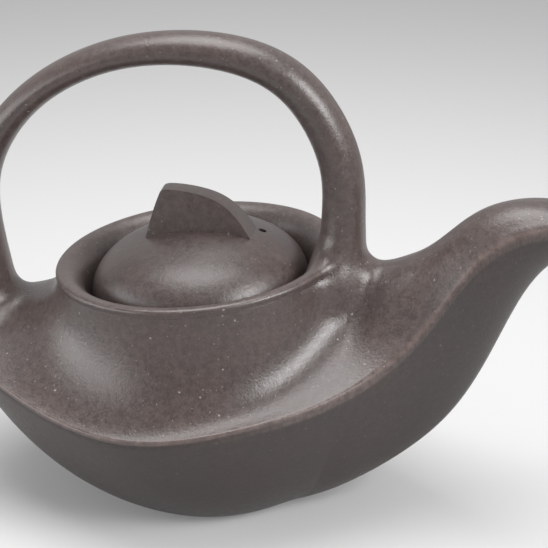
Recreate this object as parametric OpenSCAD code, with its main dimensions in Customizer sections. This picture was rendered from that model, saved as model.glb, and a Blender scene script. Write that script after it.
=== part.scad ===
// Unglazed clay teapot with an overhead handle, a horn spout and a lift-off lid.
// Origin: centre of the flat base, resting on the table. X runs toward the spout,
// Z is up. The pot is mirrored about the plane Y = 0. Millimetres, real size.

/* [Body] */
// width across the ridge where shoulder and bowl meet
body_w = 113; // [105:1:122]
// reach of the tail behind the base axis
tail_x = 82.5; // [79:0.5:88]
// lowest height of the ridge, at the sides
ridge_z = 38.5; // [35:0.5:42]
// height of the ridge at the tail
tail_z = 56; // [52:0.5:59]
// clay wall
wall = 3.2; // [2.6:0.1:3.8]
// radius of the flat base
base_r = 26.5; // [22:0.5:30]
// thickness of the floor
floor_t = 4; // [3:0.5:6]

/* [Mouth] */
// mouth centre behind the base axis
mouth_back = 5; // [3:0.5:7]
// height of the mouth centre
mouth_z = 75.5; // [73:0.5:78]
// mouth leans back by this angle
mouth_tilt = 5.5; // [3:0.5:8]
// outer radius of the rim
rim_r = 43.5; // [42:0.5:46]
// rounded lip height
lip_h = 2.6; // [2:0.2:3.2]
// seat depth below the rim
seat_depth = 13.6; // [12:0.2:15]

/* [Lid] */
// width of the funnel from the rim's outer edge in to the lid
funnel_w = 10; // [9:0.5:11.5]
// rise of the dome above its edge band
dome_h = 19.3; // [16:0.5:21]
// upright edge band of the lid
edge_h = 3; // [2:0.5:4]
// lid wall
lid_wall = 3; // [2.4:0.2:3.6]
// depth of the locating ring below the lid
flange_h = 8; // [5:0.5:10]
// thickness of the locating ring
flange_t = 3; // [2.4:0.2:4]
// clearance of the locating ring in the mouth bore
bore_gap = 0.5; // [0.3:0.1:1]
// clearance round the lid edge
lid_gap = 0.7; // [0.4:0.1:1.2]
// rest gap between lid and seat
seat_gap = 0.1; // [0.05:0.05:0.2]
// overlap of the lid on the seat ledge
ledge = 2.6; // [2:0.2:4]
// vent hole at the spout side of the grip
vent_d = 2.4; // [1.6:0.2:3.2]

/* [Grip] */
// length of the fin-shaped grip where it meets the dome
fin_l = 33; // [28:1:36]
// rise of the grip above the top of the dome
fin_h = 13.2; // [11:0.2:15]
// thickness at the foot of the grip
fin_t = 9.6; // [8:0.2:11]
// thickness lost on each face toward the top
fin_taper = 1.7; // [1:0.1:2.2]
// grip set toward the spout
fin_x = 2; // [0:0.5:3]

/* [Spout] */
// reach of the spout tip in front of the base axis
spout_x = 113; // [108:1:120]
// height of the spout tip
spout_z = 98.5; // [95:0.5:102]
// width of the pouring mouth
tip_w = 19; // [16:0.5:22]
// depth of the pouring mouth
tip_h = 12; // [10:0.5:14]
// diameter of the strainer holes
hole_d = 3.2; // [2.4:0.2:3.6]
// spacing of the strainer holes
hole_step = 5.6; // [5:0.2:6]
// strainer plate
strainer_t = 2.6; // [2:0.2:3.6]

/* [Handle] */
// height of the handle's centre line
arch_z = 140; // [136:0.5:148]
// rear leg behind the base axis
rear_x = 73; // [71:0.5:75]
// front leg past the rim's outer edge
leg_out = 1.5; // [0:0.5:3]
// half thickness of the front leg, in the plane of the arch
leg_half = 6.4; // [5.6:0.2:7.2]
// half thickness of the crown, in the plane of the arch
crown_half = 4.8; // [4:0.2:5.6]
// half width across the arch
across_half = 7.2; // [6:0.2:8]

/* [Hidden] */

clay = "#5b4a47";
clay_dark = "#4a3d3c";
clay_pale = "#6b5a56";

// share of the ridge that faces the mouth and the base before the spout takes over
share = 0.56;
// where the spout is luted on
joint_s = 0.68;
// radius and depth of the neck opening that takes the collar
neck_r = rim_r - wall;
neck_d = 9;
// outside of the lid and its underside below the rim, bore of the seat, outside of the locating ring
lid_r = rim_r - funnel_w;
lid_edge = seat_depth - seat_gap;
ledge_r = lid_r - ledge;
flange_r = ledge_r - bore_gap;
// thickness of the slip between luted pieces
slip = 0.1;

function clamp01(t) = min(max(t, 0), 1);
function ease(t) = let(u = clamp01(t)) u * u * (3 - 2 * u);
function mix(a, b, t) = a * (1 - t) + b * t;

// cubic B-spline that starts and ends on its first and last control point
function led(c) = concat([2 * c[0] - c[1]], c, [2 * c[len(c) - 1] - c[len(c) - 2]]);
function spline(c, t) =
    let(n = len(c) - 3, x = clamp01(t) * n, i = min(floor(x), n - 1), f = x - i)
    (pow(1 - f, 3) * c[i] + (3 * pow(f, 3) - 6 * f * f + 4) * c[i + 1]
        + (-3 * pow(f, 3) + 3 * f * f + 3 * f + 1) * c[i + 2] + pow(f, 3) * c[i + 3]) / 6;
function bezier(a, b, c, d, v) =
    pow(1 - v, 3) * a + 3 * v * pow(1 - v, 2) * b + 3 * v * v * (1 - v) * c + pow(v, 3) * d;

// mouth frame: its own axis leans back by mouth_tilt
function mouth(p) = [
    -mouth_back + p[0] * cos(mouth_tilt) - p[2] * sin(mouth_tilt),
    p[1],
    mouth_z + p[0] * sin(mouth_tilt) + p[2] * cos(mouth_tilt)];
function rim(phi, r, h) = mouth([r * cos(phi), -r * sin(phi), h]);
module at_mouth() {
    translate([-mouth_back, 0, mouth_z]) rotate([0, -mouth_tilt, 0]) children();
}

// guide curves, near side: ridge from tail to spout tip, crest and keel of the spout,
// and the shoulder's edge where it leaves the rim and runs out round the front leg
bw = body_w / 2;
ridge_pts = [
    [-1.03 * tail_x, 0, tail_z + 1],
    [-0.94 * tail_x, -0.42 * bw, tail_z - 6.5],
    [-0.66 * tail_x, -0.72 * bw, ridge_z + 3],
    [-0.21 * tail_x, -1.05 * bw, ridge_z - 3],
    [0.18 * spout_x, -0.93 * bw, ridge_z + 5],
    [0.40 * spout_x, -0.63 * bw, 0.474 * spout_z],
    [0.59 * spout_x, -0.35 * bw, 0.61 * spout_z],
    [0.72 * spout_x, -tip_w / 2 - 4.5, 0.897 * spout_z],
    [0.87 * spout_x, -tip_w / 2 - 2, 0.98 * spout_z],
    [spout_x, -tip_w / 2, spout_z - 2.5]];
ridge_led = let(n = len(ridge_pts) - 1, a = ridge_pts[1]) concat(
    [[a[0], -a[1], a[2]]], ridge_pts, [2 * ridge_pts[n] - ridge_pts[n - 1]]);
rim_front = rim(0, neck_r, -lip_h);
crest_led = led([
    [rim_front[0], rim_front[2]],
    [0.49 * spout_x, 0.5 * (rim_front[2] + 0.747 * spout_z)],
    [0.615 * spout_x, 0.865 * spout_z],
    [0.705 * spout_x, 0.985 * spout_z],
    [0.865 * spout_x, spout_z + 3],
    [spout_x, spout_z]]);
keel_led = led([
    [base_r, 0],
    [0.41 * spout_x, 0.07 * spout_z],
    [0.63 * spout_x, 0.235 * spout_z],
    [0.74 * spout_x, 0.437 * spout_z],
    [0.83 * spout_x, 0.712 * spout_z],
    [0.91 * spout_x, spout_z + 2 - 1.5 * tip_h],
    [spout_x - 1, spout_z - tip_h]]);

foot_from = 0.40;
foot_to = 0.68;
foot_led = led([
    rim(180 * (1 - foot_from / share), rim_r, -lip_h),
    rim(180 * (1 - (foot_from + 0.04) / share), rim_r, -lip_h),
    [0.905 * rim_r - mouth_back, -0.435 * rim_r, rim_front[2] - 0.3],
    [1.025 * rim_r - mouth_back, -0.27 * rim_r, rim_front[2] + 0.4],
    [1.14 * rim_r - mouth_back, -0.18 * rim_r, rim_front[2]],
    [0.44 * spout_x, -0.125 * rim_r, rim_front[2] - 1],
    [0.49 * spout_x, -0.083 * rim_r, rim_front[2] - 0.6],
    [0.55 * spout_x, -0.032 * rim_r, rim_front[2] + 2.5]]);

function along(c, t) =
    let(e = 0.002, u = clamp01(t), d = spline(c, u + e) - spline(c, u - e)) d / norm(d);
function ridge(s) = spline(ridge_led, s);
// how far a station lies in the hollow behind the mouth
function rear(s) = 1 - ease((s - 0.12) / 0.2);
// wall set-in at the ridge, thick where the two shells are luted together
function ridge_in(s) =
    let(p = ridge(s), d = along(ridge_led, s), k = mix(2.0, 1.25, ease((s - 0.5) / 0.4)) * wall,
        n = [-d[1], d[0], 0] / max(norm([d[0], d[1]]), 0.01))
    [p[0] + k * n[0], min(p[1] + k * n[1], 0), p[2] - mix(0.35, 0.9, rear(s)) * wall];

function crest_at(s) = spline(crest_led, (s - share) / (1 - share));
function keel_at(s) = spline(keel_led, (s - share) / (1 - share));
function crest_dir(s) = along(crest_led, (s - share) / (1 - share));
function keel_dir(s) = along(keel_led, (s - share) / (1 - share));
// half width of the flat left under the front leg and of the keel ahead of the base
function crest_half(s) = 0.5 + 8 * (1 - ease((s - share + 0.06) / 0.22));
function keel_half(s) = 0.5 + 14 * (1 - ease((s - share + 0.06) / 0.33));

function top_out(s) =
    let(phi = 180 * (1 - clamp01(s / share)), c = crest_at(s), u = s - foot_from,
        edge = mix(rim(phi, rim_r, -lip_h), spline(foot_led, u / (foot_to - foot_from)),
            ease(u / 0.07)))
    mix(edge, [c[0], -crest_half(s), c[1]], ease((s - foot_to + 0.1) / 0.1));
function top_mid(s) = s <= share
    ? rim(180 * (1 - s / share), neck_r, -lip_h)
    : let(c = crest_at(s)) [c[0], 0, c[1] + 0.12 * crest_half(s)];
function top_in(s) = s <= share
    ? rim(180 * (1 - s / share), neck_r, -neck_d)
    : let(c = crest_at(s), d = crest_dir(s), f = ease((s - share) / 0.1),
        a = rim(0, neck_r, -neck_d))
        mix(a, [c[0] + wall * d[1], 0, c[1] - wall * d[0]], f);
function foot_out(s) =
    let(phi = 180 * (1 - clamp01(s / share)), c = keel_at(s),
        h = ease((s - share + 0.14) / 0.19))
    mix([(base_r + 1) * cos(phi), -(base_r + 1) * sin(phi), 0],
        [c[0], -keel_half(s), c[1]], h);
function foot_mid(s) = s <= share
    ? let(phi = 180 * (1 - s / share)) [base_r * cos(phi), -base_r * sin(phi), 0]
    : let(c = keel_at(s)) [c[0], 0, c[1]];
function keel_in(s) = let(c = keel_at(s), d = keel_dir(s), f = ease((s - share) / 0.1))
    mix([base_r, floor_t], [c[0] - wall * d[1], c[1] + wall * d[0]], f);
function foot_in(s) =
    let(phi = 180 * (1 - clamp01(s / share)), c = keel_in(s), h = ease((s - share + 0.14) / 0.19))
    mix([(base_r + 1) * cos(phi), -(base_r + 1) * sin(phi), floor_t],
        [c[0], -0.9 * (keel_half(s) - 0.5), c[1]], h);
function foot_mid_in(s) = s <= share
    ? let(phi = 180 * (1 - s / share)) [base_r * cos(phi), -base_r * sin(phi), floor_t]
    : let(c = keel_in(s)) [c[0], 0, c[1]];

// shoulder section: leaves the ridge almost flat and stands up under the rim, most of all
// behind the mouth; toward the spout it swells over the crest instead
function over(r, t, s, v) =
    let(d = t - r, swell = ease((s - 0.44) / 0.2), level = ease((s - 0.55) / 0.13),
        k = mix(0.42, 0.52, rear(s)),
        b1 = r + [k * d[0], k * d[1], mix(0.10, 0.03, rear(s)) * d[2]],
        b2 = t - [0, 0, mix(0.50, 0.74, rear(s)) * d[2]],
        c1 = r + [0.38 * d[0], 0.32 * d[1], 0.27 * d[2]],
        c2 = t - [0.30 * d[0], 0.62 * d[1], 0.04 * d[2]])
    bezier(r, mix(b1, c1, swell), mix(b2, c2, level), t, v);
// bowl section: full below the ridge and flat where it meets the base or keel
function under(r, b, s, v) =
    let(d = b - r, k = mix(0.46, 0.35, ease((s - 0.5) / 0.25)))
    bezier(r, r + [0.12 * d[0], 0.12 * d[1], 0.41 * d[2]],
        b - [k * d[0], k * d[1], 0.03 * d[2]], b, v);

nv = 8;
function rows_over(s) = [for (j = [0:nv]) over(ridge(s), top_out(s), s, j / nv)];
function rows_over_in(s) = [for (j = [0:nv]) over(ridge_in(s), top_in(s), s, j / nv)];
function rows_under(s) = [for (j = [0:nv]) under(ridge(s), foot_out(s), s, j / nv)];
function rows_under_in(s) = [for (j = [0:nv]) under(ridge_in(s), foot_in(s), s, j / nv)];
function flip(l) = [for (i = [len(l) - 1:-1:0]) l[i]];
function mirrored(l) = [for (p = l) [p[0], -p[1], p[2]]];
function flat_list(l) = [for (a = l, b = a) b];
// both halves meet on the mirror plane: faces that shrink to a line there are dropped
function sound(f, p) = [for (t = f)
    if (min(norm(p[t[0]] - p[t[1]]), norm(p[t[1]] - p[t[2]]), norm(p[t[2]] - p[t[0]])) > 0.0001) t];
module skin(p, f) {
    polyhedron(p, sound(f, p), convexity = 8);
}

// closed shell half: a loop of points at each station, one face row between stations.
// The face between loop points gap and gap + 1 is left out where both halves join.
function loop_faces(o, stations, m, gap, gap_from, turn) = [
    for (i = [0:stations - 2], j = [0:m - 1])
        if (!(j == gap && i >= gap_from))
            let(a = o + i * m + j, b = o + i * m + (j + 1) % m, c = b + m, d = a + m)
            each turn ? [[a, b, c], [a, c, d]] : [[a, c, b], [a, d, c]]];
// end of the shell wall, outer row j against inner row j
function wall_end(o, m, turn) = concat(
    [for (j = [0:nv - 1])
        let(a = o + j, b = o + j + 1, c = o + m - 2 - j, d = o + m - 1 - j)
        each turn ? [[a, b, c], [a, c, d]] : [[a, c, b], [a, d, c]]],
    let(a = o + nv, b = a + 1, c = a + 2, d = a + 3)
        turn ? [[a, b, c], [a, c, d]] : [[a, c, b], [a, d, c]]);

module half_shells(loops, gap, gap_from, turn) {
    m = len(loops[0]);
    n = len(loops);
    near = flat_list(loops);
    skin(concat(near, mirrored(near)), concat(
        loop_faces(0, n, m, gap, gap_from, turn),
        loop_faces(n * m, n, m, gap, gap_from, !turn),
        wall_end((n - 1) * m, m, turn),
        wall_end(n * m + (n - 1) * m, m, !turn)));
}

body_n = 40;
ring_n = 32;
function station(i) = i <= ring_n ? share * i / ring_n
    : share + (joint_s - share) * (i - ring_n) / (body_n - ring_n);

module shoulder() {
    color(clay) half_shells([for (i = [0:body_n]) let(s = station(i))
        concat(rows_over(s), [top_mid(s), top_in(s)], flip(rows_over_in(s)))],
        nv + 1, ring_n, true);
}

module lower_bowl() {
    color(clay_dark) half_shells([for (i = [0:body_n]) let(s = station(i))
        concat(rows_under(s), [foot_mid(s), foot_mid_in(s)], flip(rows_under_in(s)))],
        nv + 1, ring_n, false);
}

module base_disc() {
    color(clay_dark) cylinder(r = base_r - slip, h = floor_t, $fn = 96);
}

// open strip of faces between neighbouring stations
function strip_faces(o, stations, m, turn, gap = -1, gap_from = 0) = [
    for (i = [0:stations - 2], j = [0:m - 2])
        if (!(j == gap && i >= gap_from))
            let(a = o + i * m + j, b = a + 1, c = b + m, d = a + m)
            each turn ? [[a, b, c], [a, c, d]] : [[a, c, b], [a, d, c]]];
// ring face at a tube end between outer strip point j and inner strip point j;
// up to point top its faces are split as the shoulder's end is, so that both lie flush
function ring_end(o, q, m, turn, top = 0) = [
    for (j = [0:m - 2])
        let(a = o + j, b = o + j + 1, c = q + j + 1, d = q + j)
        each j < top
            ? (turn ? [[a, b, d], [b, c, d]] : [[a, d, b], [b, d, c]])
            : (turn ? [[a, b, c], [a, c, d]] : [[a, c, b], [a, d, c]])];

spout_n = 22;
function spout_s(i) = joint_s + (1 - joint_s) * i / spout_n;
function spout_out(s) = concat([top_mid(s)], flip(rows_over(s)),
    [for (j = [1:nv]) rows_under(s)[j]], [foot_mid(s)]);
function spout_in(s) = let(u = flip(rows_over_in(s)), l = rows_under_in(s))
    concat([top_in(s)], u, [for (j = [1:nv]) l[j]], [foot_mid_in(s)]);

module spout() {
    a = [for (i = [0:spout_n]) spout_out(spout_s(i))];
    b = [for (i = [0:spout_n]) spout_in(spout_s(i))];
    m = len(a[0]);
    n = spout_n + 1;
    near = concat(flat_list(a), flat_list(b));
    k = n * m;
    color(clay) skin(concat(near, mirrored(near)), concat(
        strip_faces(0, n, m, false), strip_faces(k, n, m, true),
        strip_faces(2 * k, n, m, true), strip_faces(3 * k, n, m, false),
        ring_end(0, k, m, true, nv + 1), ring_end(2 * k, 3 * k, m, false, nv + 1),
        ring_end(k - m, 2 * k - m, m, false), ring_end(3 * k - m, 4 * k - m, m, true)));
}

// handle: an oval section carried along the arch
legs_x = -mouth_back + rim_r + leg_out;
function arch_at(across, up) = [mix(-rear_x, legs_x, across), mix(mouth_z, arch_z, up)];
arch_led = led([
    [legs_x, mouth_z - neck_d / 2],
    arch_at(1, 0.23),
    arch_at(1.005, 0.53),
    arch_at(0.885, 0.90),
    arch_at(0.705, 1.02),
    arch_at(0.49, 1.02),
    arch_at(0.3, 0.925),
    arch_at(0.115, 0.71),
    [-rear_x - 1.5, mix(tail_z, arch_z, 0.5)],
    [-rear_x - 0.5, mix(tail_z, arch_z, 0.22)],
    [-rear_x + 3, tail_z - 3]]);
girth_led = led([
    [leg_half + 3, across_half + 6],
    [leg_half, across_half + 0.6],
    [leg_half, across_half + 0.3],
    [leg_half - 0.4, across_half],
    [mix(leg_half, crown_half, 0.6), across_half - 0.2],
    [crown_half, across_half - 0.4],
    [crown_half - 0.4, across_half - 0.4],
    [crown_half - 0.4, across_half - 0.2],
    [crown_half + 0.4, across_half + 0.2],
    [crown_half + 2.4, across_half + 2.6],
    [crown_half + 3.8, across_half + 12]]);
arch_n = 52;
arch_k = 20;
function arch_ring(t) =
    let(c = spline(arch_led, t), g = spline(girth_led, t), d = along(arch_led, t))
    [for (k = [0:arch_k - 1]) let(a = 360 * k / arch_k)
        [c[0] - d[1] * g[0] * cos(a), g[1] * sin(a), c[1] + d[0] * g[0] * cos(a)]];
module arch() {
    pts = [for (i = [0:arch_n], p = arch_ring(i / arch_n)) p];
    polyhedron(pts, concat(
        [for (i = [0:arch_n - 1], k = [0:arch_k - 1])
            let(a = i * arch_k + k, b = i * arch_k + (k + 1) % arch_k, c = b + arch_k, d = a + arch_k)
            each [[a, b, c], [a, c, d]]],
        [[for (k = [0:arch_k - 1]) arch_k - 1 - k]],
        [[for (k = [0:arch_k - 1]) arch_n * arch_k + k]]), convexity = 6);
}
// solid under the shoulder's skin, used to seat the handle's ends
module shoulder_block() {
    rows = [for (i = [0:body_n]) let(s = station(i))
        concat(rows_over(s), [top_mid(s), i <= ring_n ? top_in(s) : top_mid(s)])];
    m = len(rows[0]);
    n = body_n + 1;
    k = n * m;
    near = flat_list(rows);
    skin(concat(near, mirrored(near), [[0, 0, -ridge_z], mouth([0, 0, -neck_d])]), concat(
        strip_faces(0, n, m, true, m - 2, ring_n), strip_faces(k, n, m, false, m - 2, ring_n),
        ring_end(k - m, 2 * k - m, m, true),
        [for (i = [0:n - 2]) let(a = i * m, b = a + m)
            each [[a, b, 2 * k], [k + b, k + a, 2 * k]]],
        [[k - m, 2 * k - m, 2 * k]],
        [for (i = [0:ring_n - 1]) let(a = i * m + m - 1, b = a + m)
            each [[b, a, 2 * k + 1], [k + a, k + b, 2 * k + 1]]]));
}
module handle() {
    color(clay) difference() {
        arch();
        shoulder_block();
        at_mouth() rotate_extrude($fn = 96) polygon(collar_block());
    }
}

// mouth: rounded lip and funnel down to the lid, then the seat ledge and bore
funnel_r = lid_r + lid_gap;
function arc_pts(c, r, a0, a1, n) =
    [for (i = [0:n]) let(a = a0 + (a1 - a0) * i / n) c + r * [cos(a), sin(a)]];
function collar_top() = concat(
    [[rim_r, -lip_h]],
    arc_pts([rim_r - lip_h, -lip_h], lip_h, 0, 90, 6),
    [[rim_r - lip_h - 0.8, -0.15], [rim_r - lip_h - 1.5, -0.6]],
    [[mix(funnel_r, rim_r - lip_h - 1.5, 0.5), -0.42 * seat_depth]],
    [[funnel_r + 0.5, -0.76 * seat_depth], [funnel_r, -0.84 * seat_depth], [funnel_r, -seat_depth]]);
function collar_block() = concat(collar_top(),
    [[funnel_r, -2 * seat_depth], [rim_r, -2 * seat_depth]]);
module rim_collar() {
    color(clay_pale) at_mouth() rotate_extrude($fn = 96) polygon(concat(collar_top(),
        [[neck_r - 3, -seat_depth], [neck_r - slip, -neck_d], [neck_r - slip, -lip_h]]));
}
module mouth_ring() {
    color(clay_dark) at_mouth() rotate_extrude($fn = 96) polygon([
        [neck_r - 3, -seat_depth], [ledge_r, -seat_depth], [ledge_r, -seat_depth - 3.6],
        [ledge_r + 0.8, -seat_depth - 4.4], [neck_r - 4.5, -seat_depth - 4.4],
        [neck_r - 3, -seat_depth - 3]]);
}

// pierced wall at the root of the spout, cut to the inside of the shells
strainer_at = [0.55 * spout_x, 0.56 * spout_z];
strainer_lean = 22;
module inside_block() {
    a = [for (i = [ring_n + 2:body_n + 10])
        let(s = i <= body_n ? station(i) : spout_s(i - body_n))
        concat(flip(rows_over_in(s)), [for (j = [1:nv]) rows_under_in(s)[j]], [foot_mid_in(s)])];
    m = len(a[0]);
    n = len(a);
    near = flat_list(a);
    k = n * m;
    skin(concat(near, mirrored(near)), concat(
        strip_faces(0, n, m, false), strip_faces(k, n, m, true),
        ring_end(0, k, m, true), ring_end(k - m, 2 * k - m, m, false)));
}
module strainer() {
    color(clay_dark) intersection() {
        inside_block();
        translate([strainer_at[0], 0, strainer_at[1]]) rotate([0, 90 - strainer_lean, 0]) difference() {
            cylinder(r = 45, h = strainer_t, center = true, $fn = 64);
            for (ring = [0:2], k = [0:max(6 * ring - 1, 0)])
                rotate([0, 0, ring == 0 ? 0 : 60 * k / ring])
                    translate([ring * hole_step, 0, -strainer_t])
                        cylinder(d = hole_d, h = 2 * strainer_t, $fn = 24);
        }
    }
}

// lid: a round dome on an upright edge band, hollow underneath
function dome_pts(r, h, low, n) = [for (i = [0:n]) let(a = 90 * i / n)
    [r * pow(cos(a), 0.92), low + h * pow(sin(a), 0.92)]];
dome_low = edge_h - lid_edge;
flange_in = flange_r - flange_t;
module dome_solid() {
    rotate_extrude($fn = 96) polygon(concat([[0, -lid_edge], [lid_r - 0.5, -lid_edge],
        [lid_r, -lid_edge + 0.5]], dome_pts(lid_r, dome_h, dome_low, 16)));
}
module lid_dome() {
    color(clay) at_mouth() difference() {
        dome_solid();
        rotate_extrude($fn = 96) polygon(concat([[0, -lid_edge - 1], [flange_in, -lid_edge - 1]],
            dome_pts(flange_in, dome_h - lid_wall + edge_h - 1, -lid_edge + 1, 12)));
        translate([fin_x + fin_l / 2 + vent_d / 2 + 0.4, fin_t / 2 - 0.8, -lid_edge])
            cylinder(d = vent_d, h = edge_h + dome_h, $fn = 24);
    }
}
module lid_flange() {
    color(clay_dark) at_mouth() translate([0, 0, -lid_edge - flange_h]) difference() {
        cylinder(r = flange_r, h = flange_h, $fn = 96);
        translate([0, 0, -1]) cylinder(r = flange_in, h = flange_h + 2, $fn = 96);
    }
}

// fin-shaped grip: upright end to the rear, long curved fall to the spout
fin_top = dome_low + dome_h + fin_h;
function fin_outline() =
    let(a = fin_x - fin_l / 2, l = fin_l / 2, t = fin_top, low = dome_low + dome_h - 5,
        rise = led([[a - 1.2, low], [a + 0.8, mix(low, t, 0.31)], [a + 3.6, t - 5], [a + 5.8, t - 0.7]]),
        fall = led([[a + 5.8, t - 0.7], [a + 7, t + 0.3], [fin_x - 0.09 * l, t - 0.8],
            [fin_x + 0.42 * l, t - 0.27 * fin_h], [fin_x + 0.76 * l, t - 0.68 * fin_h],
            [fin_x + l, mix(low, t, 0.09)], [fin_x + l + 1, low]]))
    concat([for (i = [0:10]) spline(rise, i / 10)], [for (i = [1:18]) spline(fall, i / 18)]);
module lid_fin() {
    color(clay_pale) at_mouth() difference() {
        rotate([90, 0, 0]) linear_extrude(fin_t, center = true) polygon(fin_outline());
        for (side = [-1, 1])
            translate([0, side * fin_t / 2, fin_top - fin_h - 2])
                rotate([side * atan(fin_taper / fin_h), 0, 0])
                    translate([0, side * fin_t, 0]) cube([3 * fin_l, 2 * fin_t, 6 * fin_h], center = true);
        dome_solid();
    }
}

base_disc();
lower_bowl();
shoulder();
spout();
strainer();
rim_collar();
mouth_ring();
handle();
lid_dome();
lid_flange();
lid_fin();
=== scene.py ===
import math

import bmesh
import bpy
import numpy as np
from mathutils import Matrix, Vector
from mathutils.bvhtree import BVHTree
from mathutils.kdtree import KDTree


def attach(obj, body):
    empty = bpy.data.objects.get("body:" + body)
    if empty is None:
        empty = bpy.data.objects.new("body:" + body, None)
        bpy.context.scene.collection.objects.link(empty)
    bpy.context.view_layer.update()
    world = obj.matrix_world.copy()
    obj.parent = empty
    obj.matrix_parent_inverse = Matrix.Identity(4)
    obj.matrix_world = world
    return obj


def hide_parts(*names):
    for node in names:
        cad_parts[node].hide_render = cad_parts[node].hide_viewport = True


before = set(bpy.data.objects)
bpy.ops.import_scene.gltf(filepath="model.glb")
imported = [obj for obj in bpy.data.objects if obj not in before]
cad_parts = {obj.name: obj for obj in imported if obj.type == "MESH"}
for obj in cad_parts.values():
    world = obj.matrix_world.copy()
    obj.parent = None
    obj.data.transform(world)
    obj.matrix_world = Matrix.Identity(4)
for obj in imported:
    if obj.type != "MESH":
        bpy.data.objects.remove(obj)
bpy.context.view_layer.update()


# Base disc: the round floor slab, beaten flat from purple clay and cut out with a compass.
# It is luted into the bowl and fired with it, unglazed, so it takes the clay that all pieces share.
class Shade:
    """A shader socket that Python operators work on: each operation adds its Math node."""

    def __init__(self, tree, socket):
        self.tree = tree
        self.socket = socket

    def node(self, kind, settings=None, values=None, out=0):
        """Adds a node: its settings are set first, then its sockets are given values or links."""
        made = self.tree.nodes.new(kind)
        for name, value in (settings or {}).items():
            setattr(made, name, value)
        for name, value in (values or {}).items():
            if isinstance(value, Shade):
                self.tree.links.new(value.socket, made.inputs[name])
            else:
                made.inputs[name].default_value = value
        return Shade(self.tree, made.outputs[out])

    def maths(self, operation, first, second):
        return self.node("ShaderNodeMath", {"operation": operation}, {0: first, 1: second})

    def __add__(self, other):
        return self.maths("ADD", self, other)

    def __radd__(self, other):
        return self.maths("ADD", other, self)

    def __sub__(self, other):
        return self.maths("SUBTRACT", self, other)

    def __rsub__(self, other):
        return self.maths("SUBTRACT", other, self)

    def __mul__(self, other):
        return self.maths("MULTIPLY", self, other)

    def __rmul__(self, other):
        return self.maths("MULTIPLY", other, self)

    def between(self, low, high):
        """0 below low, 1 above high and a smooth rise between them."""
        return self.node("ShaderNodeMapRange", {"interpolation_type": "SMOOTHSTEP"},
                         {"Value": self, "From Min": low, "From Max": high})

    def noise(self, scale, detail=2.0, roughness=0.5):
        return self.node("ShaderNodeTexNoise", {},
                         {"Vector": self, "Scale": scale, "Detail": detail, "Roughness": roughness})

    def tint(self, blend, factor, first, second):
        """Mixes two colours."""
        return self.node("ShaderNodeMix", {"data_type": "RGBA", "blend_type": blend},
                         {0: factor, 6: first, 7: second}, out=2)


def clay(name, tone, gloss, speck_share):
    """Unglazed purple clay, burnished with a horn tool: cloudy brown, fine grain, pale mineral specks.
    Fields of the mesh say where edges are worn and where a painted highlight lightens the brushed band
    under the ridge, where brush marks run, and where painted shade darkens the under side."""
    material = bpy.data.materials.new(name)
    material.use_nodes = True
    tree = material.node_tree
    surface = tree.nodes["Principled BSDF"]
    start = Shade(tree, surface.outputs[0])

    def field(layer, out="Fac"):
        return start.node("ShaderNodeAttribute", {"attribute_name": layer}, out=out)

    def toned(*channels):
        return [channel * tone for channel in channels] + [1]

    place = start.node("ShaderNodeTexCoord", out="Object")
    wear = field("wear")
    brush = field("brush")
    under_side = field("under_side")
    flow = field("flow", "Vector")

    cloud = place.noise(32, 3)
    mottle = place.noise(480, 3, 0.6).between(0.30, 0.70)
    grain = place.noise(1500, 2, 0.6).between(0.30, 0.70)
    brown = toned(0.060, 0.046, 0.0435)
    plum = toned(0.067, 0.048, 0.0445)
    rubbed_and_sheen = toned(0.125, 0.092, 0.084)
    speck_pale = (0.30, 0.27, 0.25, 1)
    colour = start.tint("MIX", cloud.between(0.38, 0.66), brown, plum)
    strokes = flow.node("ShaderNodeMapping", {}, {"Vector": flow, "Scale": (900.0, 60.0, 1.0)}).noise(1, 3)
    shade = 0.70 + mottle * 0.30 + grain * 0.30 + (strokes.between(0.2, 0.8) - 0.5) * brush * 0.6
    # Painted shade: the clay below the ridge is darkened, on the bowl and the spout alike.
    shade = shade * (1 - under_side * 0.50)
    colour = start.tint("MULTIPLY", 1, colour, start.node(
        "ShaderNodeCombineColor", {}, {0: shade, 1: shade, 2: shade}))

    rough_edge = start.node("ShaderNodeTexNoise", {}, {"Vector": place, "Scale": 1900.0}, out="Color")
    ragged = start.node("ShaderNodeMix", {"data_type": "VECTOR", "factor_mode": "UNIFORM"},
                        {0: 0.0006, 4: place, 5: rough_edge}, out=1)

    def scattered(scale, share, size):
        """Round grains in a share of the cells of a random field, up to the size in cells."""
        cells = {"Vector": ragged, "Scale": scale, "Randomness": 1.0}
        away = start.node("ShaderNodeTexVoronoi", {}, cells)
        lot = start.node("ShaderNodeTexVoronoi", {}, cells, out="Color")
        draw = start.node("ShaderNodeSeparateColor", {}, {0: lot})
        return (draw.between(1 - share, 1.0) * size - away).between(0.0, 0.06)

    # Where the under side carries painted shade, fewer pale specks show.
    open_side = 1 - under_side * 0.7
    speck = scattered(330.0, speck_share, 0.14) * open_side
    dust = scattered(750.0, speck_share * 0.8, 0.25) * open_side
    colour = start.tint("MIX", speck * 0.65 + dust * 0.3, colour, speck_pale)
    # The pale worn colour lies on worn edges and, as a painted highlight, on the brushed band under the
    # ridge.
    rub_and_sheen = wear * (0.55 + mottle * 0.35)
    colour = start.tint("MIX", rub_and_sheen.between(0.1, 1.1), colour, rubbed_and_sheen)
    tree.links.new(colour.socket, surface.inputs["Base Color"])

    rough = gloss + under_side * 0.06 + (mottle - 0.5) * 0.08 + (grain - 0.5) * 0.06 + speck * 0.2
    rough = rough + (strokes - 0.5) * brush * 0.12
    tree.links.new(rough.socket, surface.inputs["Roughness"])
    height = grain * 0.4 + mottle * 0.5 + speck * 0.6 + strokes * brush * 0.8
    bump = height.node("ShaderNodeBump", {}, {"Strength": 0.22, "Distance": 0.00025, "Height": height})
    tree.links.new(bump.socket, surface.inputs["Normal"])
    surface.inputs["IOR"].default_value = 1.55
    return material


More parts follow.
